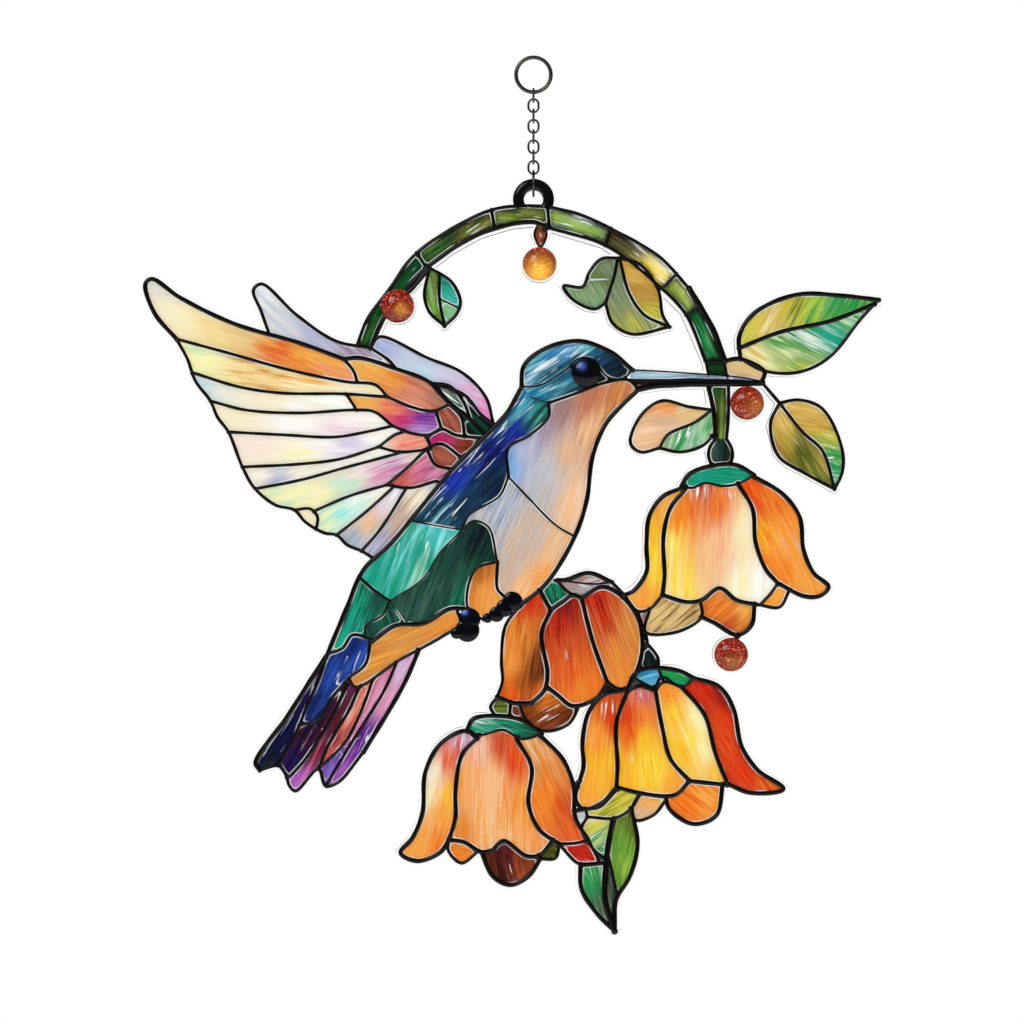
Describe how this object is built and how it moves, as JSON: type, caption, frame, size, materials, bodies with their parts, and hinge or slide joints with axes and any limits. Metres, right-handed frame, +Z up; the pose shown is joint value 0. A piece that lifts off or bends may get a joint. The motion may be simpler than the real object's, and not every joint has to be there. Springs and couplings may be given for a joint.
{
  "type": "acrylic suncatcher",
  "caption": "Stained-glass style clear acrylic suncatcher of a hummingbird at bell flowers in a vine arch, hung by a fine chain and ring.",
  "frame": {"origin": "inside top of the hanging ring, where a hook or nail carries it", "axes": "+Z up along the chain, -Y out of the printed front, +X to the right as seen from the front"},
  "size_m": [0.1514, 0.0066, 0.1797],
  "materials": {
    "clear_acrylic": "gloss, see-through, printed in stained-glass colours",
    "black_leading": "gloss, raised and rounded",
    "amber_resin": "gloss, see-through with glitter",
    "black_resin": "high gloss",
    "dark_metal": "dark plated, satin"
  },
  "bodies": {
    "root": {"acrylic_sheet": "clear_acrylic", "leading": "black_leading", "bead_top": "amber_resin", "bead_left": "amber_resin", "bead_right": "amber_resin", "bead_lower": "amber_resin", "eye": "black_resin", "jump_ring": "dark_metal", "chain_link_1": "dark_metal", "chain_link_2": "dark_metal", "chain_link_3": "dark_metal", "chain_link_4": "dark_metal", "chain_link_5": "dark_metal", "chain_link_6": "dark_metal", "chain_link_7": "dark_metal", "chain_link_8": "dark_metal", "hanging_ring": "dark_metal"}
  },
  "joints": []
}
